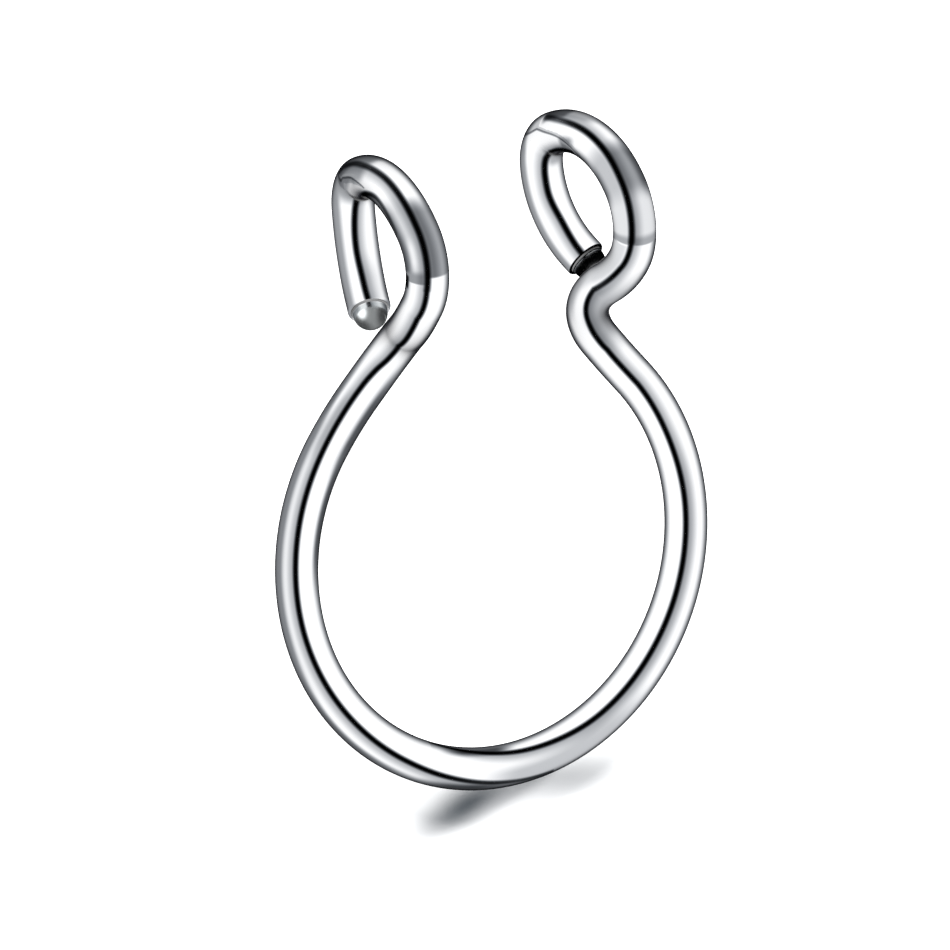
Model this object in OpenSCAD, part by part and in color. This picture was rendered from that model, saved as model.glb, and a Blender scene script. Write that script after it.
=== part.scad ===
// Clip-on nose ring, bent from one length of polished round wire.
// A nearly full hoop opens at the top. Each end of it leans forwards as a short neck, then rolls
// up, over and back down into a small closed curl beside the opening. The two curls hold the
// nose's septum between them by the spring of the hoop, so nothing is pierced.
// The ring lies on its back, as it rests on a table: the hoop's bottom and the backs of both curls
// touch z = 0. X runs across the ring, Y from the hoop's bottom towards the curls.
// The origin is under the middle of the whole ring. All lengths are in millimetres.

/* [Wire] */
// Diameter of the wire
wire_d = 1; // [0.8:0.1:1.2]
// Length of the straight stretch at each end of the wire
tail_l = 0.3; // [0.3:0.05:0.6]
// Rounding of the shoulder where the wire is cut
shoulder_r = 0.08; // [0.04:0.01:0.12]
// Diameter of the polished ball that rounds off each end of the wire
ball_d = 0.8; // [0.5:0.05:0.8]
// How far the ball's centre stands out of the cut
ball_out = 0.05; // [0:0.01:0.1]

/* [Hoop] */
// Radius of the hoop at the middle of the wire
hoop_r = 5.2; // [4.6:0.1:6]
// Part of a full turn that the hoop takes
hoop_angle = 256; // [240:1:264]

/* [Neck] */
// Plane of the bend that eases each arm out of the hoop
lean_plane = 85; // [70:5:100]
// Angle of that bend
lean_angle = 13; // [8:1:18]
// Radius of that bend
lean_r = 6.2; // [5:0.1:7]
// Plane of the bend that turns the arm forwards
neck_plane = 120; // [110:5:130]
// Angle of that bend
neck_angle = 66; // [56:1:70]
// Radius of that bend
neck_r = 2.2; // [1.5:0.1:2.5]
// Plane of the shallow bend that leads into the curl
lead_plane = -79; // [-90:1:-70]
// Angle of that bend
lead_angle = 24; // [18:1:28]
// Radius of that bend
lead_r = 3.05; // [2.5:0.05:3.5]

/* [Curl] */
// Plane of the tight bend at the curl's front
front_plane = -114; // [-118:1:-110]
// Angle of that bend
front_angle = 80; // [76:1:84]
// Radius of that bend
front_r = 1.35; // [1.2:0.05:1.5]
// Plane of the wide bend that climbs to the curl's top
arch_plane = -107; // [-111:1:-103]
// Angle of that bend
arch_angle = 73; // [69:1:77]
// Radius of that bend
arch_r = 2.4; // [2.2:0.05:2.6]
// Plane of the tight bend over the curl's top
crown_plane = -111; // [-115:1:-107]
// Angle of that bend
crown_angle = 67; // [63:1:71]
// Radius of that bend
crown_r = 0.9; // [0.8:0.05:1]
// Plane of the slow bend of the limb that returns to the neck
limb_plane = -124; // [-128:1:-120]
// Angle of that bend
limb_angle = 51; // [46:1:54]
// Radius of that bend
limb_r = 2.55; // [2.4:0.05:2.7]

/* [Hidden] */
$fn = 72;

wire_r = wire_d / 2;
ball_r = ball_d / 2;

// Two bends meet in a round joint, so that the wire is one closed solid without a seam between
// faces. The joint is wider than the wire by less than can be seen, and each bend stops just
// short of the joint's middle.
joint_extra = 0.002;
joint_gap = 0.02;
joint_r = wire_r + joint_extra;

// The bends of the wire, from the hoop's bottom along one arm to the wire's end. A bend's plane is
// its direction about the wire's own axis, carried along the wire without twist: 0 bends inwards
// as the hoop does, 90 bends forwards and -90 backwards.
PLANE = 0;
ANGLE = 1;
RADIUS = 2;
HOOP_BEND = [0, hoop_angle, hoop_r];
HALF_HOOP = [0, hoop_angle / 2, hoop_r];
ARM_BENDS = [
    [lean_plane, lean_angle, lean_r],
    [neck_plane, neck_angle, neck_r],
    [lead_plane, lead_angle, lead_r],
    [front_plane, front_angle, front_r],
    [arch_plane, arch_angle, arch_r],
    [crown_plane, crown_angle, crown_r],
    [limb_plane, limb_angle, limb_r],
];
LAST = len(ARM_BENDS);

// Rotation about the wire's axis, which is the local X axis
function turned(angle) = [
    [1, 0, 0, 0],
    [0, cos(angle), -sin(angle), 0],
    [0, sin(angle), cos(angle), 0],
    [0, 0, 0, 1],
];

// Way along an arc that starts at the origin along X and bends towards Y
function along(angle, radius) = [
    [cos(angle), -sin(angle), 0, radius * sin(angle)],
    [sin(angle), cos(angle), 0, radius * (1 - cos(angle))],
    [0, 0, 1, 0],
    [0, 0, 0, 1],
];

// Frame at an angle into a row of the bend table, for a bend that starts at the given frame
function into(frame, row, angle) =
    frame * turned(row[PLANE]) * along(angle, row[RADIUS]) * turned(-row[PLANE]);

// Frames at the start of each bend of the arm, and one more where the straight tail starts
FRAMES = [
    for (i = 0, frame = into(turned(0), HALF_HOOP, HALF_HOOP[ANGLE]);
         i <= LAST;
         frame = i < LAST ? into(frame, ARM_BENDS[i], ARM_BENDS[i][ANGLE]) : frame, i = i + 1)
    frame
];

// Points on the middle line of the arm at every degree, seen from the hoop's bottom
ARM_POINTS = [
    for (i = [0 : LAST - 1], angle = [0 : ARM_BENDS[i][ANGLE]])
    let (frame = into(FRAMES[i], ARM_BENDS[i], angle))
    [frame.x[3], frame.y[3], frame.z[3]]
];

// The hoop tips up until the backs of the curls lie as low as its bottom
rest_tilt = max([for (point = ARM_POINTS) atan2(-point.z, point.y)]);
far_y = max([for (point = ARM_POINTS) point.y * cos(rest_tilt) - point.z * sin(rest_tilt)]);

// One bend of the wire, starting at the origin along X
module bend(row) {
    trim = joint_gap / row[RADIUS] * 180 / PI;
    rotate([row[PLANE], 0, 0])
        translate([0, row[RADIUS], 0])
            rotate([0, 0, trim - 90])
                rotate_extrude(angle = row[ANGLE] - 2 * trim)
                    translate([row[RADIUS], 0])
                        circle(wire_r);
}

// Round joint between two bends, with its poles on the wire's axis
module joint() {
    rotate([0, 90, 0])
        sphere(joint_r);
}

// The hoop, open at the top, with its bottom at the origin
module hoop() {
    multmatrix(into(turned(0), HOOP_BEND, -hoop_angle / 2))
        bend(HOOP_BEND);
}

// The end of the wire: a straight tail, cut square with a rounded shoulder, and a polished ball
module wire_end() {
    rotate([0, 90, 0]) {
        rotate_extrude() {
            translate([0, joint_gap])
                square([wire_r, tail_l - shoulder_r - joint_gap]);
            translate([0, tail_l - shoulder_r])
                square([wire_r - shoulder_r, shoulder_r]);
            translate([wire_r - shoulder_r, tail_l - shoulder_r])
                intersection() {
                    circle(shoulder_r);
                    square(shoulder_r);
                }
        }
        translate([0, 0, tail_l + ball_out])
            sphere(ball_r);
    }
}

// One arm: the neck that leans forwards, the curl and the wire's end
module arm() {
    for (i = [0 : LAST - 1])
        multmatrix(FRAMES[i]) {
            joint();
            bend(ARM_BENDS[i]);
        }
    multmatrix(FRAMES[LAST]) {
        joint();
        wire_end();
    }
}

module ring_wire() {
    color("silver")
        translate([0, -far_y / 2, wire_r])
            rotate([rest_tilt, 0, 0]) {
                hoop();
                arm();
                mirror([1, 0, 0])
                    arm();
            }
}

ring_wire();
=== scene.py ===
"""Clip-on nose ring of polished round wire, lying on a pale floor in a soft white studio.

The ring is one wire. It is swept again here along the same bends as the solid that it stands for,
finely enough for a mirror finish, and is dressed in polished steel. Lengths are in metres.
"""

from __future__ import annotations

import logging
import math
from collections.abc import Sequence
from dataclasses import dataclass
from enum import Enum

import bmesh
import bpy
from mathutils import Matrix, Vector

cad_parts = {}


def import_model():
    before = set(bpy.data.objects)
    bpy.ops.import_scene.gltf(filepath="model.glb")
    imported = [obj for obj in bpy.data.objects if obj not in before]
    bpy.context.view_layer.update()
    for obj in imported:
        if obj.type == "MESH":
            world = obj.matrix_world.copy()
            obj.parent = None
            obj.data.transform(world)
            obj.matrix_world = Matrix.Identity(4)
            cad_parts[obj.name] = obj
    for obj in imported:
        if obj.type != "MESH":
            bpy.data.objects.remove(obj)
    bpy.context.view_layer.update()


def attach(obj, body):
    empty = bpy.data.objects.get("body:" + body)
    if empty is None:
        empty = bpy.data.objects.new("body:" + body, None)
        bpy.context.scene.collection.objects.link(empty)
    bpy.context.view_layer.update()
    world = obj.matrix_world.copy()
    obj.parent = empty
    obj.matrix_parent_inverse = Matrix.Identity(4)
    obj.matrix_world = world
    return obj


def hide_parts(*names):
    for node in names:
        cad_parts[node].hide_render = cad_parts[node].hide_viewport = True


LOG = logging.getLogger("nose_ring")
MM = 0.001
ALL_ROUND = (-200.0, 200.0)


class Channel(Enum):
    """Names of the values that the meshes carry for their shaders."""

    ALONG = "along_mm"
    SIDE = "side"
    FRONT = "front"
    LINE_OFF = "line_off"
    LINE_SHARE = "line_share"
    SKIRT_OFF = "skirt_off"


@dataclass(frozen=True)
class Bend:
    """One bend of the wire: its plane about the wire's axis and its angle, in degrees, and its radius."""

    plane: float
    angle: float
    radius: float

    def step(self, share: float) -> Matrix:
        """Gives the way along a share of the bend, from its start.

        Args:
            share: Part of the bend's angle, from 0 to 1.

        Returns:
            The frame there, in the frame at the bend's start.
        """
        turn = Matrix.Rotation(math.radians(self.plane), 4, "X")
        arc = Matrix.Rotation(math.radians(self.angle * share), 4, "Z")
        centre = Matrix.Translation((0.0, self.radius, 0.0))
        return turn @ centre @ arc @ centre.inverted() @ turn.inverted()

    def length(self, share: float = 1.0) -> float:
        """Length of wire in a share of the bend."""
        return math.radians(self.angle * share) * self.radius


class Sock:
    """A shader socket that takes Python's arithmetic and adds the Math nodes for it."""

    def __init__(self, tree: bpy.types.NodeTree, socket: bpy.types.NodeSocket) -> None:
        """Wraps a socket of a node tree."""
        self.tree = tree
        self.socket = socket

    def maths(self, operation: str, *others: Sock | float, first: float | None = None) -> Sock:
        """Adds one Math node.

        Args:
            operation: The node's operation, such as MULTIPLY.
            others: The values or sockets of its further inputs.
            first: A number for the first input, with this socket then second.

        Returns:
            The node's result.
        """
        node = self.tree.nodes.new("ShaderNodeMath")
        node.operation = operation
        values = [self, *others] if first is None else [first, self, *others]
        for socket, value in zip(node.inputs, values, strict=False):
            if isinstance(value, Sock):
                self.tree.links.new(value.socket, socket)
            else:
                socket.default_value = value
        return Sock(self.tree, node.outputs[0])

    def __add__(self, other: Sock | float) -> Sock:
        """Sum."""
        return self.maths("ADD", other)

    def __radd__(self, other: float) -> Sock:
        """Sum with a number first."""
        return self.maths("ADD", first=other)

    def __sub__(self, other: Sock | float) -> Sock:
        """Difference."""
        return self.maths("SUBTRACT", other)

    def __rsub__(self, other: float) -> Sock:
        """Difference from a number."""
        return self.maths("SUBTRACT", first=other)

    def __mul__(self, other: Sock | float) -> Sock:
        """Product."""
        return self.maths("MULTIPLY", other)

    def __rmul__(self, other: float) -> Sock:
        """Product with a number first."""
        return self.maths("MULTIPLY", first=other)

    def __truediv__(self, other: Sock | float) -> Sock:
        """Quotient."""
        return self.maths("DIVIDE", other)

    def size(self) -> Sock:
        """The value without its sign."""
        return self.maths("ABSOLUTE")

    def smooth(self, low: float, high: float, start: float = 0.0, end: float = 1.0) -> Sock:
        """Maps the value smoothly from one range to another.

        Args:
            low: Value at which the result is start.
            high: Value at which the result is end.
            start: Result at low and before it.
            end: Result at high and past it.

        Returns:
            The mapped value.
        """
        node = self.tree.nodes.new("ShaderNodeMapRange")
        node.interpolation_type = "SMOOTHSTEP"
        for socket, value in zip(node.inputs[1:5], (low, high, start, end), strict=True):
            socket.default_value = value
        self.tree.links.new(self.socket, node.inputs[0])
        return Sock(self.tree, node.outputs[0])


class Shader:
    """Builds the nodes of one material or world."""

    def __init__(self, tree: bpy.types.NodeTree) -> None:
        """Takes an empty node tree."""
        self.tree = tree
        tree.nodes.clear()

    def node(
        self,
        kind: str,
        settings: dict[str, object] | None = None,
        inputs: dict[str, object] | None = None,
    ) -> bpy.types.Node:
        """Adds a node.

        Args:
            kind: Type of the node, such as ShaderNodeTexNoise.
            settings: Properties of the node, which are set first.
            inputs: Values or linked sockets by the input's name.

        Returns:
            The node.
        """
        node = self.tree.nodes.new(kind)
        for name, value in (settings or {}).items():
            setattr(node, name, value)
        for name, value in (inputs or {}).items():
            if isinstance(value, Sock):
                value = value.socket
            if isinstance(value, bpy.types.NodeSocket):
                self.tree.links.new(value, node.inputs[name])
            else:
                node.inputs[name].default_value = value
        return node

    def value(self, node: bpy.types.Node, output: str | int = 0) -> Sock:
        """Wraps an output of a node for arithmetic."""
        return Sock(self.tree, node.outputs[output])

    def mix(self, share: Sock, start: object, end: object) -> bpy.types.NodeSocket:
        """Mixes two colours.

        Args:
            share: How much of the second colour there is, from 0 to 1.
            start: First colour, or a socket that gives it.
            end: Second colour.

        Returns:
            The socket with the mixed colour.
        """
        node = self.node("ShaderNodeMix", {"data_type": "RGBA"})
        self.tree.links.new(share.socket, node.inputs[0])
        for socket, value in ((node.inputs[6], start), (node.inputs[7], end)):
            if isinstance(value, bpy.types.NodeSocket):
                self.tree.links.new(value, socket)
            else:
                socket.default_value = value
        return node.outputs[2]

    def channel(self, channel: Channel) -> Sock:
        """Reads one of the values that the mesh carries."""
        node = self.node("ShaderNodeAttribute", {"attribute_name": channel.value})
        return self.value(node, "Fac")


@dataclass(frozen=True)
class PolishedSteel:
    """Mirror-polished surgical steel, a little cool and hazy, with a softer polish on the end balls and a
    darker colour on them that is painted shade.
    """

    name: str = "polished_steel"
    colour: tuple[float, float, float, float] = (0.86, 0.865, 0.875, 1.0)
    # Near-black edge tint: painted shade that darkens the steel's reflections along the wire's outline.
    rim_shade: tuple[float, float, float, float] = (0.02, 0.02, 0.025, 1.0)
    roughness: float = 0.13
    roughness_spread: float = 0.04
    haze_scale: float = 900.0
    haze_detail: float = 3.0
    haze_fineness: float = 0.6
    haze_range: tuple[float, float] = (0.35, 0.75)
    ball_start: tuple[float, float] = (25.38, 25.45)
    ball_roughness: float = 0.3
    # Darker colour of the end balls: painted shade, for they are the same steel as the wire.
    ball_shade_colour: tuple[float, float, float, float] = (0.64, 0.67, 0.68, 1.0)

    def material(self) -> bpy.types.Material:
        """Makes the material.

        Returns:
            The material, with its haze from noise on the piece's own coordinates.
        """
        material = bpy.data.materials.new(self.name)
        material.use_nodes = True
        shader = Shader(material.node_tree)
        place = shader.node("ShaderNodeTexCoord").outputs["Object"]
        haze = shader.value(
            shader.node(
                "ShaderNodeTexNoise",
                {"noise_dimensions": "3D"},
                {
                    "Vector": place,
                    "Scale": self.haze_scale,
                    "Detail": self.haze_detail,
                    "Roughness": self.haze_fineness,
                },
            ),
            "Fac",
        )
        ball = shader.channel(Channel.ALONG).smooth(*self.ball_start)
        roughness = self.roughness + haze.smooth(*self.haze_range) * self.roughness_spread
        roughness = roughness + ball * (self.ball_roughness - self.roughness)
        surface = shader.node(
            "ShaderNodeBsdfPrincipled",
            None,
            {
                # The steel's own colour, with painted shade on the end balls.
                "Base Color": shader.mix(ball, self.colour, self.ball_shade_colour),
                "Metallic": 1.0,
                "Roughness": roughness,
                "Specular Tint": self.rim_shade,
            },
        )
        output = shader.node("ShaderNodeOutputMaterial")
        material.node_tree.links.new(surface.outputs[0], output.inputs["Surface"])
        return material


@dataclass
class RingWire:
    """The whole ring: one round wire, mirrored about the bottom of its hoop."""

    name: str = "ring_wire_polished"
    node: str = "ring_wire"
    slot: str = "polished_steel"
    wire_r: float = 0.5 * MM
    hoop: Bend = Bend(0.0, 128.0, 5.2 * MM)
    bends: tuple[Bend, ...] = (
        Bend(85.0, 13.0, 6.2 * MM),
        Bend(120.0, 66.0, 2.2 * MM),
        Bend(-79.0, 24.0, 3.05 * MM),
        Bend(-114.0, 80.0, 1.35 * MM),
        Bend(-107.0, 73.0, 2.4 * MM),
        Bend(-111.0, 67.0, 0.9 * MM),
        Bend(-124.0, 51.0, 2.55 * MM),
    )
    tail: float = 0.3 * MM
    shoulder_r: float = 0.08 * MM
    ball_r: float = 0.4 * MM
    ball_out: float = 0.05 * MM
    sides: int = 80
    degrees_per_ring: float = 1.6
    rings_per_quarter: int = 8
    merge: float = 0.0001 * MM

    def arm_frames(self) -> list[Matrix]:
        """Follows the wire from the end of the hoop.

        Returns:
            Frames at the start of each bend of the arm, and at the start of the tail.
        """
        frames = [self.hoop.step(1.0)]
        for bend in self.bends:
            frames.append(frames[-1] @ bend.step(1.0))
        return frames

    def middle_line(self) -> list[Vector]:
        """Finds points on the middle of the arm.

        Returns:
            A point at every degree of its bends.
        """
        return [
            (frame @ bend.step(degree / bend.angle)).translation
            for frame, bend in zip(self.arm_frames(), self.bends, strict=False)
            for degree in range(int(bend.angle) + 1)
        ]

    def lying(self) -> Matrix:
        """Lays the ring on its back.

        Returns:
            The way from the hoop's own frame to the floor.
        """
        points = self.middle_line()
        tilt = max(math.atan2(-point.z, point.y) for point in points)
        turn = Matrix.Rotation(tilt, 4, "X")
        far = max((turn @ point).y for point in points)
        return Matrix.Translation((0.0, -far / 2, self.wire_r)) @ turn

    def end_profile(self) -> list[tuple[float, float]]:
        """Outline of the wire's end.

        Returns:
            Distances past the tail's start and radii, from the tail to just short of the ball's pole.
        """
        cut = self.tail
        inner = self.wire_r - self.shoulder_r
        quarter = [math.radians(90.0 * k / self.rings_per_quarter) for k in range(self.rings_per_quarter + 1)]
        shoulder = [
            (cut - self.shoulder_r + self.shoulder_r * math.sin(a), inner + self.shoulder_r * math.cos(a))
            for a in quarter
        ]
        ball_at = cut + self.ball_out
        start = math.acos(-self.ball_out / self.ball_r)
        steps = 3 * self.rings_per_quarter
        ball = [
            (ball_at + self.ball_r * math.cos(a), self.ball_r * math.sin(a))
            for a in (start * (1 - k / steps) for k in range(steps))
        ]
        return shoulder + ball

    def extrude(self, bm: bmesh.types.BMesh, ring: list[bmesh.types.BMEdge], move: Matrix) -> list:
        """Pulls the last ring of edges out to a new place.

        Args:
            bm: The mesh being made.
            ring: Edges of the last ring.
            move: Where the new ring goes, from where the last one is.

        Returns:
            Edges of the new ring.
        """
        made = bmesh.ops.extrude_edge_only(bm, edges=ring)["geom"]
        points = [item for item in made if isinstance(item, bmesh.types.BMVert)]
        bmesh.ops.transform(bm, matrix=move, verts=points)
        fresh = set(points)
        return [
            item
            for item in made
            if isinstance(item, bmesh.types.BMEdge) and fresh.issuperset(item.verts)
        ]

    def mark(self, bm: bmesh.types.BMesh, ring: list[bmesh.types.BMEdge], along: float) -> None:
        """Writes the distance along the wire on a ring's points.

        Args:
            bm: The mesh being made.
            ring: Edges of the ring.
            along: Distance of the ring from the hoop's bottom.
        """
        layer = bm.verts.layers.float[Channel.ALONG.value]
        for edge in ring:
            for point in edge.verts:
                point[layer] = along / MM

    def length(self) -> float:
        """Length of wire from the hoop's bottom to the start of the straight tail."""
        return sum(bend.length() for bend in (self.hoop, *self.bends))

    def at(self, along: float) -> Matrix:
        """Follows the wire from the hoop's bottom.

        Args:
            along: Distance along it.

        Returns:
            Frame of the wire there.
        """
        frame = Matrix.Identity(4)
        for bend in (self.hoop, *self.bends):
            if along <= bend.length():
                return frame @ bend.step(along / bend.length())
            frame = frame @ bend.step(1.0)
            along -= bend.length()
        return frame @ Matrix.Translation((along, 0.0, 0.0))

    def sweep(self, bm: bmesh.types.BMesh, radius: float, sides: int) -> list[bmesh.types.BMEdge]:
        """Sweeps a circle along the hoop and the bends, to the start of the straight tail.

        Args:
            bm: The empty mesh that takes it.
            radius: Radius of the circle.
            sides: Sides of the circle.

        Returns:
            Edges of the last ring.
        """
        bm.verts.layers.float.new(Channel.ALONG.value)
        across = Matrix.Rotation(math.radians(90.0), 4, "Y")
        bmesh.ops.create_circle(bm, segments=sides, radius=radius, matrix=across)
        ring = list(bm.edges)
        frame = Matrix.Identity(4)
        along = 0.0
        for bend in (self.hoop, *self.bends):
            count = math.ceil(bend.angle / self.degrees_per_ring)
            for k in range(count):
                before = frame @ bend.step(k / count)
                after = frame @ bend.step((k + 1) / count)
                ring = self.extrude(bm, ring, after @ before.inverted())
                self.mark(bm, ring, along + bend.length((k + 1) / count))
            frame = frame @ bend.step(1.0)
            along += bend.length()
        return ring

    def double(self, bm: bmesh.types.BMesh) -> None:
        """Adds the other arm, mirrored about the hoop's bottom."""
        bmesh.ops.mirror(
            bm,
            geom=[*bm.verts, *bm.edges, *bm.faces],
            matrix=Matrix.Identity(4),
            merge_dist=self.merge,
            axis="X",
        )

    def lay(self, bm: bmesh.types.BMesh, name: str) -> bpy.types.Mesh:
        """Lays a mesh down as the ring lies.

        Args:
            bm: The mesh in the hoop's own frame, which is freed.
            name: Name of the finished mesh.

        Returns:
            The smooth mesh in the frame in which the ring lies on the floor.
        """
        bmesh.ops.transform(bm, matrix=self.lying(), verts=bm.verts)
        bmesh.ops.recalc_face_normals(bm, faces=bm.faces)
        mesh = bpy.data.meshes.new(name)
        bm.to_mesh(mesh)
        bm.free()
        mesh.shade_smooth()
        return mesh

    def mesh(self) -> bpy.types.Mesh:
        """Sweeps the wire to one end, closes it with the rounded cut and the ball, and mirrors it.

        Returns:
            The mesh, in the frame in which the ring lies on the floor.
        """
        bm = bmesh.new()
        ring = self.sweep(bm, self.wire_r, self.sides)
        along = self.length()
        frame = self.at(along)
        reach, radius = 0.0, self.wire_r
        for next_reach, next_radius in self.end_profile():
            grow = next_radius / radius
            local = Matrix.Translation((reach, 0.0, 0.0))
            scale = Matrix.Diagonal((1.0, grow, grow, 1.0))
            shift = Matrix.Translation((next_reach - reach, 0.0, 0.0))
            move = frame @ local @ shift @ scale @ local.inverted() @ frame.inverted()
            ring = self.extrude(bm, ring, move)
            self.mark(bm, ring, along + next_reach)
            reach, radius = next_reach, next_radius
        pole = bmesh.ops.extrude_edge_only(bm, edges=ring)["geom"]
        tip = [item for item in pole if isinstance(item, bmesh.types.BMVert)]
        top = frame @ Vector((self.tail + self.ball_out + self.ball_r, 0.0, 0.0))
        bmesh.ops.pointmerge(bm, verts=tip, merge_co=top)
        self.double(bm)
        return self.lay(bm, self.name)

    def build(self) -> bpy.types.Object:
        """Makes the ring and puts it in the place of its solid.

        Returns:
            The ring's object, riding on the frame.
        """
        ring = bpy.data.objects.new(self.name, self.mesh())
        bpy.context.scene.collection.objects.link(ring)
        ring.data.materials.append(PolishedSteel().material())
        ring.visible_glossy = False
        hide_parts(self.node)
        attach(ring, "root")
        return ring


@dataclass(frozen=True)
class PhotoCamera:
    """The photograph's view of the ring, in the frame of the hoop."""

    turn: float = 29.45
    rise: float = 14.78
    roll: float = -5.16
    pixels: float = 950.0
    pixels_per_mm: float = 43.528
    hoop_x: float = 491.44
    hoop_y: float = 545.84
    lens: float = 1300.0
    sensor: float = 36.0
    clip: tuple[float, float] = (0.05, 10.0)

    def axes(self) -> Matrix:
        """Works out how the picture is turned.

        Returns:
            Its right, up and back, as columns, in the hoop's own frame.
        """
        turn, rise, roll = (math.radians(a) for a in (self.turn, self.rise, self.roll))
        back = Vector((-math.sin(turn) * math.cos(rise), math.sin(rise), math.cos(turn) * math.cos(rise)))
        right = Vector((math.cos(turn), 0.0, math.sin(turn)))
        up = Vector((math.sin(turn) * math.sin(rise), math.cos(rise), -math.cos(turn) * math.sin(rise)))
        level = Matrix((right, up, back)).transposed()
        return level @ Matrix.Rotation(roll, 3, "Z")

    def build(self, wire: RingWire) -> bpy.types.Object:
        """Makes the camera and makes it the scene's own.

        Args:
            wire: The ring, which says where its hoop's frame lies.

        Returns:
            The camera.
        """
        data = bpy.data.cameras.new("photo_camera")
        data.lens = self.lens
        data.sensor_width = self.sensor
        data.clip_start, data.clip_end = self.clip
        camera = bpy.data.objects.new("photo_camera", data)
        bpy.context.scene.collection.objects.link(camera)
        axes = self.axes()
        middle = (self.pixels - 1) / 2
        shift = Vector((middle - self.hoop_x, self.hoop_y - middle, 0.0)) * (MM / self.pixels_per_mm)
        width = self.pixels * MM / self.pixels_per_mm
        distance = width * self.lens / self.sensor
        hoop_centre = Vector((0.0, wire.hoop.radius, 0.0))
        target = hoop_centre + axes @ shift
        place = Matrix.Translation(target + axes.col[2] * distance) @ axes.to_4x4()
        camera.matrix_world = wire.lying() @ place
        bpy.context.scene.camera = camera
        return camera


@dataclass(frozen=True)
class DarkLine:
    """A dark line along the sleeve that paints a dark stripe into the wire's reflection, by mm along the
    wire, degrees round it and darkness.
    """

    width: float
    course: tuple[tuple[float, float, float], ...]

    def at(self, along: float) -> tuple[float, float, float] | None:
        """Finds the line at a distance along the wire, on a smooth curve through its course.

        Args:
            along: Distance from the hoop's bottom in mm, negative on the left arm.

        Returns:
            Degrees round the wire, degrees gained per mm and darkness there, or None past its ends.
        """
        course = self.course
        for k in range(len(course) - 1):
            start, end = course[k], course[k + 1]
            if not start[0] <= along <= end[0]:
                continue
            before = course[max(k - 1, 0)]
            after = course[min(k + 2, len(course) - 1)]
            span = end[0] - start[0]
            share = (along - start[0]) / span
            lean_in = (end[1] - before[1]) / (end[0] - before[0]) * span
            lean_out = (after[1] - start[1]) / (after[0] - start[0]) * span
            rise = end[1] - start[1]
            cubic = lean_in + lean_out - 2.0 * rise
            square = 3.0 * rise - 2.0 * lean_in - lean_out
            place = start[1] + share * (lean_in + share * (square + share * cubic))
            lean = (lean_in + share * (2.0 * square + 3.0 * share * cubic)) / span
            return place, lean, start[2] + (end[2] - start[2]) * share
        return None


@dataclass(frozen=True)
class Card:
    """A soft-edged card inside the sleeve that paints a lighter or darker patch into the wire's reflection,
    by its reach in mm along the wire and in degrees round it.
    """

    along: tuple[float, float]
    around: tuple[float, float]
    level: float
    soft_along: tuple[float, float] = (0.5, 0.5)
    soft_around: float = 24.0

    def share(self, along: Sock, around: Sock, edges: tuple[float, float]) -> Sock:
        """Works out how much of a spot of the sleeve the card covers.

        Args:
            along: Distance of the spot along the wire in mm.
            around: Degrees of the spot round the sleeve.
            edges: Degrees of the card's two edges round the sleeve.

        Returns:
            The share, from 0 to 1.
        """
        start, end = self.along
        first, last = (width / 2.0 for width in self.soft_along)
        low, high = edges
        soft = self.soft_around / 2.0
        share = along.smooth(start - first, start + first) * along.smooth(end + last, end - last)
        return share * around.smooth(low - soft, low + soft) * around.smooth(high + soft, high - soft)


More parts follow.
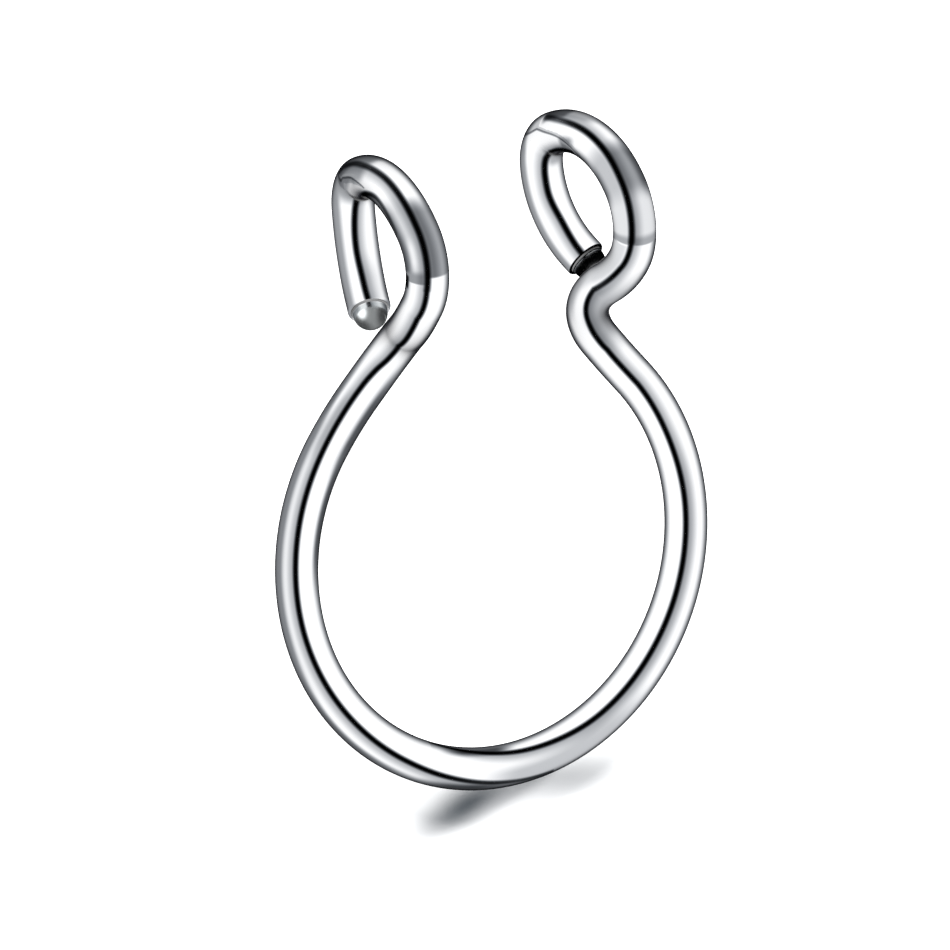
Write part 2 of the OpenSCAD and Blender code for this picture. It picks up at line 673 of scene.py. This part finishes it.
@dataclass(frozen=True)
class LightSleeve:
    """A light tent drawn close round the wire, white with dark lines and grey cards, seen only by the polish,
    whose pattern paints the wire's reflection: its dark stripe, grey edges and slate patches.

    Degrees round the wire count from the side that faces the photograph's camera, positive towards the
    outside of the hoop. The lines' courses are rounded readings of where the dark stripe was measured in
    the photograph, and the cards were set against a map of its reflections along and round the wire.
    """

    name: str = "light_sleeve"
    gap: float = 0.05 * MM
    sides: int = 120
    reach: float = 0.45 * MM
    light: float = 1.25
    gamma: float = 2.2
    # Bluish tint where the painted reflection is darker.
    slate: tuple[float, float, float, float] = (0.80, 0.88, 1.0, 1.0)
    white: tuple[float, float, float, float] = (1.0, 1.0, 1.0, 1.0)
    line_core: float = 2.0
    line_edge: float = 15.0
    line_dark: float = 0.97
    skirt_edge: float = 42.0
    skirt_dark: float = 0.36
    side_edge: tuple[float, float] = (44.0, 6.0)
    side_dark: float = 0.5
    back_dark: float = 0.9
    # How far the sleeve runs past the cut: the left arm's sleeve shows only to the first, the right arm's to
    # the second, where it carries a dark collar of painted shade.
    past_cut: tuple[float, float] = (0.12 * MM, 0.6 * MM)
    lines: tuple[DarkLine, ...] = (
        DarkLine(
            0.95,
            (
                (-25.6, 3, 1),
                (-24.7, 0, 1),
                (-23.8, -4, 1),
                (-23.0, 1, 1),
                (-22.35, 13, 1),
                (-22.15, 24, 1),
                (-21.95, 44, 1),
                (-21.75, 60, 1),
                (-21.35, 66, 1),
                (-20.95, 65, 1),
                (-20.5, 58, 0.9),
                (-20.0, 51, 0.75),
                (-19.4, 58, 0.5),
                (-18.8, 66, 0.2),
            ),
        ),
        DarkLine(
            0.3,
            (
                (-22.05, -75, 0.5),
                (-21.9, -31, 0.55),
                (-21.7, -14, 0.55),
                (-21.3, 8, 0.55),
                (-21.0, 27, 0.55),
                (-20.6, 46, 0.5),
            ),
        ),
        DarkLine(
            1.0,
            (
                (-22.0, -66, 0.6),
                (-21.75, -50, 0.65),
                (-21.35, -34, 0.7),
                (-20.95, -19, 0.75),
                (-20.5, -11, 0.85),
                (-20.0, -8, 0.9),
                (-19.4, -5, 0.95),
                (-18.6, -2, 0.98),
                (-17.5, 0, 1),
            ),
        ),
        DarkLine(
            0.85,
            (
                (-17.5, 0, 1),
                (-16.6, -6, 1),
                (-15.5, -11, 1),
                (-14.6, -7, 1),
                (-14.0, 2, 1),
                (-13.4, 7, 1),
                (-12.2, 7, 1),
                (-11, 4, 1),
                (-8, 2, 1),
                (-5, 2, 1),
                (-3.1, 11, 1),
                (-2, 24, 1),
                (-1, 39, 0.85),
                (0, 55, 0.7),
                (1, 68, 0.5),
            ),
        ),
        DarkLine(
            0.85,
            (
                (-2.6, -75, 0.6),
                (-1.6, -60, 1),
                (-0.8, -44, 1),
                (0, -30, 1),
                (1, -18, 1),
                (2, -8, 1),
                (2.8, -4, 1),
                (4.2, -2, 1),
                (8, -1, 1),
                (10, -6, 1),
                (11.8, -4, 1),
                (13, -3, 1),
                (13.7, 3, 1),
                (14.4, 9, 1),
                (15.1, 5, 1),
                (15.9, -6, 0.85),
                (16.5, -11, 1),
                (17.0, -11.5, 1),
                (17.5, -9, 1),
            ),
        ),
        DarkLine(
            1.0,
            (
                (17.5, -9, 1),
                (18.0, -8, 1),
                (18.8, -4, 1),
                (19.3, 0, 1),
                (19.9, 5, 1),
                (20.6, 13, 0.9),
                (21.05, 24, 0.65),
                (21.4, 40, 0.7),
                (21.65, 55, 0.5),
            ),
        ),
        DarkLine(
            0.3,
            (
                (20.0, -75, 0.45),
                (20.3, -61, 0.5),
                (20.8, -33, 0.5),
                (21.45, 1, 0.5),
                (21.8, 27, 0.5),
                (22.05, 48, 0.5),
                (22.3, 75, 0.4),
            ),
        ),
        DarkLine(
            1.0,
            (
                (20.4, -70, 0.85),
                (20.8, -67, 1),
                (21.45, -58, 1),
                (21.85, -48, 1),
                (22.15, -30, 1),
                (22.4, -17, 1),
                (22.8, -8, 1),
                (23.2, -5, 1),
                (23.6, -4, 1),
                (24.3, -9, 1),
                (24.8, -7, 1),
                (25.6, 0, 1),
            ),
        ),
    )
    cards: tuple[Card, ...] = (
        Card((-26, -24.3), (8, 44), 0.88, (0.1, 1.0), 30),
        Card((-26, -21.9), (-95, -38), 0.62, (0.1, 0.2)),
        Card((-22.4, -20.75), (-60, 28), 0.68, (0.5, 0.35), 30),
        Card((-22.1, -21.3), (16, 44), 1.0, (0.3, 0.25)),
        Card((-22.0, -20.8), (-90, -26), 0.52, (0.3, 0.3)),
        Card((-19.5, -17.63), (6, 90), 0.84, (0.7, 0.05)),
        Card((-19.6, -17.63), (48, 90), 0.38, (0.7, 0.05), 44),
        Card((-18.5, -17.95), (20, 40), 0.95, (0.35, 0.3)),
        Card((-17.85, -17.63), (8, 90), 0.6, (0.15, 0.04)),
        Card((-19.2, -17.76), (-90, -8), 0.64, (0.5, 0.05)),
        Card((-19.2, -17.76), (-30, -4), 0.4, (0.5, 0.05), 44),
        Card((-19.2, -17.76), (-95, -56), 0.45, (0.5, 0.05), 36),
        Card((-17.75, -17.4), (60, 95), 0.05, (0.1, 0.1), 16),
        Card((-13.9, -11.3), (-90, -42), 0.34, (2.0, 1.4), 28),
        Card((-11.6, -8.6), (-90, -50), 0.34, (1.4, 1.6), 26),
        Card((-13.6, -3.0), (50, 90), 0.45, (2.2, 2.4), 26),
        Card((-12.2, -6.2), (40, 90), 0.52, (1.2, 2.4), 30),
        Card((-12.9, -11.4), (20, 34), 0.84, (0.7, 0.7)),
        Card((-1.9, -0.2), (-64, -40), 0.3, (0.9, 0.7)),
        Card((-2.2, 1.0), (46, 90), 0.3, (1.2, 1.2), 30),
        Card((-0.6, 3.3), (10, 64), 0.76, (1.2, 1.8), 36),
        Card((2.6, 9.5), (-4, 26), 0.9, (1.5, 2.0), 34),
        Card((13.0, 16.2), (2, 60), 0.74, (1.2, 1.6), 28),
        Card((13.6, 15.8), (56, 95), 0.85, (0.8, 0.8)),
        Card((14.4, 16.0), (-95, -34), 0.75, (0.8, 0.5), 30),
        Card((15.4, 17.42), (-95, -20), 0.86, (0.6, 0.06)),
        Card((18.3, 19.5), (2, 90), 0.6, (0.5, 0.5), 20),
        Card((18.3, 19.4), (48, 90), 0.38, (0.5, 0.5), 30),
        Card((18.1, 19.6), (-90, -6), 0.76, (0.5, 0.6)),
        Card((17.7, 19.4), (-95, -56), 0.5, (0.4, 0.5), 36),
        Card((17.47, 18.4), (-90, 90), 0.88, (0.04, 0.5)),
        Card((17.46, 17.62), (-90, 90), 0.66, (0.04, 0.14)),
        Card((20.3, 21.2), (30, 90), 0.72, (0.4, 0.3)),
        Card((20.95, 21.6), (34, 90), 0.42, (0.2, 0.15)),
        Card((20.4, 20.95), (-56, -26), 0.62, (0.3, 0.2), 20),
        Card((21.95, 22.75), (-90, -22), 0.7, (0.15, 0.4)),
        Card((22.3, 26.0), (46, 95), 0.62, (0.4, 0.1)),
        # Nearly black collar past the right arm's cut: paints the shade in which the right end ball sits.
        Card((25.36, 27.0), ALL_ROUND, 0.02, (0.03, 0.1)),
    )

    def on_sleeve(self, seen: float, wire_r: float) -> float:
        """Follows the polish from the wire to the sleeve.

        Args:
            seen: Degrees round the wire at which the camera sees a spot of it.
            wire_r: Radius of the wire.

        Returns:
            Degrees round the sleeve of what is mirrored in that spot.
        """
        within = math.sin(math.radians(seen)) * wire_r / (wire_r + self.gap)
        return 2.0 * seen - math.degrees(math.asin(within))

    def edges(self, card: Card, wire_r: float) -> tuple[float, float]:
        """Finds where a card's edges stand round the sleeve.

        Args:
            card: The card, with its edges in degrees round the wire as the camera sees them.
            wire_r: Radius of the wire.

        Returns:
            Degrees round the sleeve, or more than a whole turn for a card that goes all the way round.
        """
        if card.around == ALL_ROUND:
            return ALL_ROUND
        low, high = (self.on_sleeve(max(min(edge, 90.0), -90.0), wire_r) for edge in card.around)
        return low, high

    def nearest_line(self, along: float, around: float, wire_r: float) -> tuple[float, float, float]:
        """Finds the dark line nearest to a spot of the sleeve.

        Args:
            along: Distance along the wire in mm, negative on the left arm.
            around: Degrees round the sleeve.
            wire_r: Radius of the wire.

        Returns:
            Degrees from the middle of the line, measured square to it, its darkness, and the degrees
            again where the spot is on the line's outer side.
        """
        best, share, skirt = 180.0 - abs(around), self.back_dark, 180.0
        for line in self.lines:
            found = line.at(along)
            if found is None:
                continue
            place, lean, dark = found
            slope = math.radians(lean) * (wire_r + self.gap) / MM
            off = (around - self.on_sleeve(place, wire_r) + 180.0) % 360.0 - 180.0
            off = off / math.hypot(1.0, slope)
            if abs(off) / line.width < best:
                best, share = abs(off) / line.width, dark
                skirt = off if off > 0.0 else 180.0
        return best, share, skirt

    def measure(self, bm: bmesh.types.BMesh, wire: RingWire, camera_side: Vector) -> None:
        """Writes on every point of the sleeve where it is along and round the wire.

        Args:
            bm: Both arms of the sleeve, in the hoop's own frame.
            wire: The ring inside it.
            camera_side: The way to the camera, in the hoop's own frame.
        """
        fresh = [channel for channel in Channel if channel is not Channel.ALONG]
        layers = {channel: bm.verts.layers.float.new(channel.value) for channel in fresh}
        along_layer = bm.verts.layers.float[Channel.ALONG.value]
        frames: dict[float, Matrix] = {}
        for point in bm.verts:
            arm = -1.0 if point.co.x < 0.0 else 1.0
            along = point[along_layer]
            frame = frames.setdefault(along, wire.at(along * MM))
            flip = Vector((arm, 1.0, 1.0))
            out = (point.co * flip - frame.translation).normalized()
            way = frame.col[0].to_3d()
            facing = camera_side * flip
            facing = (facing - way * facing.dot(way)).normalized()
            side, front = out.dot(way.cross(facing)), out.dot(facing)
            around = math.degrees(math.atan2(side, front))
            off, share, skirt = self.nearest_line(along * arm, around, wire.wire_r)
            point[along_layer] = along * arm
            point[layers[Channel.SIDE]] = side
            point[layers[Channel.FRONT]] = front
            point[layers[Channel.LINE_OFF]] = off
            point[layers[Channel.LINE_SHARE]] = share
            point[layers[Channel.SKIRT_OFF]] = skirt

    def pattern(self, shader: Shader, wire_r: float) -> Sock:
        """Works out how light the sleeve is.

        Args:
            shader: The sleeve's shader.
            wire_r: Radius of the wire.

        Returns:
            The light as the eye sees it, from 0 to 1.
        """
        along = shader.channel(Channel.ALONG)
        around = shader.channel(Channel.SIDE).maths("ARCTAN2", shader.channel(Channel.FRONT))
        around = around * math.degrees(1.0)
        from_side = (around.size() - 90.0).size()
        light = 1.0 - from_side.smooth(*self.side_edge) * self.side_dark
        for card in self.cards:
            light = light + card.share(along, around, self.edges(card, wire_r)) * (card.level - light)
        share = shader.channel(Channel.LINE_SHARE)
        line = shader.channel(Channel.LINE_OFF).smooth(self.line_edge, self.line_core) * share
        skirt = shader.channel(Channel.SKIRT_OFF).smooth(self.skirt_edge, self.line_core) * share
        return light * (1.0 - line * self.line_dark) * (1.0 - skirt * self.skirt_dark)

    def material(self, wire_r: float, left_end: float) -> bpy.types.Material:
        """Makes the sleeve's glow, on its inside and close to the wire alone.

        Args:
            wire_r: Radius of the wire.
            left_end: Where the left arm's sleeve ends, in mm along the wire.

        Returns:
            The material.
        """
        material = bpy.data.materials.new(self.name)
        material.use_nodes = True
        shader = Shader(material.node_tree)
        light = self.pattern(shader, wire_r)
        tint = shader.mix(light, self.slate, self.white)
        level = light.maths("POWER", self.gamma) * self.light
        colour = shader.node("ShaderNodeVectorMath", {"operation": "SCALE"}, {"Vector": tint, "Scale": level})
        glow = shader.node("ShaderNodeEmission", None, {"Color": colour.outputs[0], "Strength": 1.0})
        clear = shader.node("ShaderNodeBsdfTransparent")
        inside = shader.value(shader.node("ShaderNodeNewGeometry"), "Backfacing")
        close = shader.value(shader.node("ShaderNodeLightPath"), "Ray Length").maths("LESS_THAN", self.reach)
        here = shader.channel(Channel.ALONG).maths("GREATER_THAN", left_end)
        both = shader.node(
            "ShaderNodeMixShader", None, {0: inside * close * here, 1: clear.outputs[0], 2: glow.outputs[0]}
        )
        output = shader.node("ShaderNodeOutputMaterial")
        material.node_tree.links.new(both.outputs[0], output.inputs["Surface"])
        material.cycles.emission_sampling = "NONE"
        return material

    def build(self, wire: RingWire, camera_side: Vector) -> bpy.types.Object:
        """Makes the sleeve.

        Args:
            wire: The ring that it goes round.
            camera_side: The way to the camera, in the hoop's own frame.

        Returns:
            The sleeve, seen by glossy rays alone.
        """
        bm = bmesh.new()
        ring = wire.sweep(bm, wire.wire_r + self.gap, self.sides)
        frame = wire.at(wire.length())
        cut = wire.length() + wire.tail
        along = wire.length()
        for reach in (cut, *(cut + past for past in self.past_cut)):
            step = Matrix.Translation((reach - along, 0.0, 0.0))
            ring = wire.extrude(bm, ring, frame @ step @ frame.inverted())
            wire.mark(bm, ring, reach)
            along = reach
        wire.double(bm)
        self.measure(bm, wire, camera_side)
        mesh = wire.lay(bm, self.name)
        mesh.materials.append(self.material(wire.wire_r, -(cut + self.past_cut[0]) / MM))
        sleeve = bpy.data.objects.new(self.name, mesh)
        bpy.context.scene.collection.objects.link(sleeve)
        sleeve.visible_camera = False
        sleeve.visible_diffuse = False
        sleeve.visible_shadow = False
        sleeve.visible_transmission = False
        sleeve.visible_volume_scatter = False
        return sleeve


@dataclass(frozen=True)
class Window:
    """A soft window of the studio, light or dark, by the way to it and its half angles in degrees."""

    way: tuple[float, float, float]
    inner: float
    outer: float
    level: float

    def share(self, parts: Sequence[Sock]) -> Sock:
        """Works out how much of a direction lies in the window.

        Args:
            parts: The direction's three parts.

        Returns:
            The share, from 0 to 1.
        """
        x, y, z = (part * amount for part, amount in zip(parts, self.way, strict=True))
        edge, middle = (math.cos(math.radians(angle)) for angle in (self.outer, self.inner))
        return (x + y + z).smooth(edge, middle)


@dataclass(frozen=True)
class Backdrop:
    """The studio past the sleeve: white behind the ring, and dim to the end balls, with four windows.

    Two of the windows are lighter than the rest of it and two are darker.
    """

    white: float = 1.1
    dim: float = 0.64
    gamma: float = 2.2
    windows: tuple[Window, ...] = (
        Window((-0.978, 0.201, -0.036), 16.0, 46.0, 1.5),
        Window((0.578, 0.809, 0.09), 10.0, 40.0, 1.45),
        Window((0.908, -0.135, 0.393), 18.0, 66.0, 0.3),
        Window((-0.58, -0.707, -0.40), 14.0, 56.0, 0.36),
    )

    def build(self) -> None:
        """Makes the backdrop the scene's world, which leaves the floor to the lights."""
        world = bpy.data.worlds.new("backdrop")
        world.use_nodes = True
        bpy.context.scene.world = world
        shader = Shader(world.node_tree)
        way = shader.node("ShaderNodeTexCoord").outputs["Generated"]
        split = shader.node("ShaderNodeSeparateXYZ", None, {"Vector": way})
        parts = [shader.value(split, name) for name in "XYZ"]
        light: Sock | float = self.dim
        for window in self.windows:
            light = window.share(parts) * (window.level - self.dim) + light
        light = light.maths("MAXIMUM", 0.0).maths("POWER", self.gamma)
        walls = shader.node("ShaderNodeBackground", None, {"Color": light, "Strength": 1.0})
        plain = shader.node("ShaderNodeBackground", None, {"Strength": self.white})
        seen = shader.node("ShaderNodeLightPath").outputs["Is Camera Ray"]
        both = shader.node("ShaderNodeMixShader", None, {0: seen, 1: walls.outputs[0], 2: plain.outputs[0]})
        output = shader.node("ShaderNodeOutputWorld")
        world.node_tree.links.new(both.outputs[0], output.inputs["Surface"])
        world.cycles_visibility.diffuse = False
        world.cycles.sampling_method = "NONE"


@dataclass(frozen=True)
class SoftLight:
    """A soft light of the studio, by where it stands round the floor, in degrees from +X towards +Y."""

    name: str
    bearing: float
    rise: float
    spread: float
    strength: float
    colour: tuple[float, float, float] = (1.0, 1.0, 1.0)

    def build(self) -> bpy.types.Object:
        """Makes the light, which lights the floor and stays out of reflections.

        Returns:
            The light.
        """
        data = bpy.data.lights.new(self.name, "SUN")
        data.energy = self.strength
        data.angle = math.radians(self.spread)
        data.color = self.colour
        light = bpy.data.objects.new(self.name, data)
        bpy.context.scene.collection.objects.link(light)
        bearing, rise = math.radians(self.bearing), math.radians(self.rise)
        back = Vector(
            (math.cos(bearing) * math.cos(rise), math.sin(bearing) * math.cos(rise), math.sin(rise))
        )
        light.rotation_euler = back.to_track_quat("Z", "Y").to_euler()
        light.visible_glossy = False
        light.visible_camera = False
        return light


@dataclass(frozen=True)
class ShadowPatch:
    """A long soft patch of floor that shows its shadows, by its middle and half sizes in mm and bearing."""

    x: float
    y: float
    bearing: float
    half_long: float
    half_wide: float
    most: float = 1.0
    edge: float = 1.7

    def share(self, x: Sock, y: Sock) -> Sock:
        """Works out how much of a spot of the floor lies in the patch.

        Args:
            x: Place across the floor in mm.
            y: Place along the floor in mm.

        Returns:
            The share, from 0 to most.
        """
        cos, sin = math.cos(math.radians(self.bearing)), math.sin(math.radians(self.bearing))
        x, y = x - self.x, y - self.y
        length = (x * cos + y * sin) / self.half_long
        width = (y * cos - x * sin) / self.half_wide
        return (length * length + width * width).maths("SQRT").smooth(self.edge, 0.0) * self.most


@dataclass(frozen=True)
class PaleFloor:
    """A plain white floor, glowing so that only the shadow under the hoop's bottom shows."""

    size: float = 3.0
    colour: tuple[float, float, float, float] = (0.8, 0.8, 0.8, 1.0)
    roughness: float = 0.9
    patches: tuple[ShadowPatch, ...] = (
        ShadowPatch(-0.85, -8.06, 20.0, 1.75, 0.5),
        ShadowPatch(1.5, -8.0, -9.0, 2.5, 0.62, 0.85),
    )

    def material(self) -> bpy.types.Material:
        """Makes the floor's material.

        Returns:
            The material, which glows away every shadow outside the patches.
        """
        material = bpy.data.materials.new("pale_floor")
        material.use_nodes = True
        shader = Shader(material.node_tree)
        place = shader.node("ShaderNodeTexCoord").outputs["Object"]
        parts = shader.node("ShaderNodeSeparateXYZ", None, {"Vector": place})
        x, y = (shader.value(parts, name) / MM for name in "XY")
        plain: Sock | float = 1.0
        for patch in self.patches:
            plain = plain * (1.0 - patch.share(x, y))
        surface = shader.node(
            "ShaderNodeBsdfPrincipled",
            None,
            {
                "Base Color": self.colour,
                "Roughness": self.roughness,
                "Specular IOR Level": 0.0,
                "Emission Color": plain,
                "Emission Strength": 1.0,
            },
        )
        output = shader.node("ShaderNodeOutputMaterial")
        material.node_tree.links.new(surface.outputs[0], output.inputs["Surface"])
        return material

    def build(self) -> bpy.types.Object:
        """Makes the floor.

        Returns:
            The floor, kept out of reflections.
        """
        bm = bmesh.new()
        bmesh.ops.create_grid(bm, x_segments=1, y_segments=1, size=self.size / 2)
        mesh = bpy.data.meshes.new("floor")
        bm.to_mesh(mesh)
        bm.free()
        mesh.materials.append(self.material())
        floor = bpy.data.objects.new("floor", mesh)
        bpy.context.scene.collection.objects.link(floor)
        floor.visible_glossy = False
        return floor


@dataclass(frozen=True)
class Studio:
    """A white backdrop with a pale floor, soft lights on it and a light tent close round the wire that paints
    its reflections.
    """

    lights: tuple[SoftLight, ...] = (
        SoftLight("sky_light", 90.0, 80.0, 120.0, 0.35, (0.66, 0.83, 1.0)),
        SoftLight("back_light", 95.0, 29.0, 26.0, 5.7),
        SoftLight("key_light", 28.0, 17.0, 12.0, 4.6),
    )

    def build(self, wire: RingWire, camera: PhotoCamera) -> None:
        """Makes the backdrop, the floor, the tent and the lights, and sets how the picture's light is shown.

        Args:
            wire: The ring.
            camera: The camera that the tent's dark lines are set for.
        """
        Backdrop().build()
        PaleFloor().build()
        LightSleeve().build(wire, camera.axes().col[2])
        for light in self.lights:
            light.build()
        view = bpy.context.scene.view_settings
        view.view_transform = "Standard"
        view.look = "None"


def main() -> None:
    """Builds the ring, the studio and the camera."""
    logging.basicConfig(level=logging.INFO, format="%(name)s: %(message)s")
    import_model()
    wire = RingWire()
    ring = wire.build()
    LOG.info("%s: %d points", ring.name, len(ring.data.vertices))
    view = PhotoCamera()
    Studio().build(wire, view)
    LOG.info("studio ready")
    camera = view.build(wire)
    LOG.info("%s at %s", camera.name, [round(x, 4) for x in camera.matrix_world.translation])


if __name__ == "__main__":
    main()
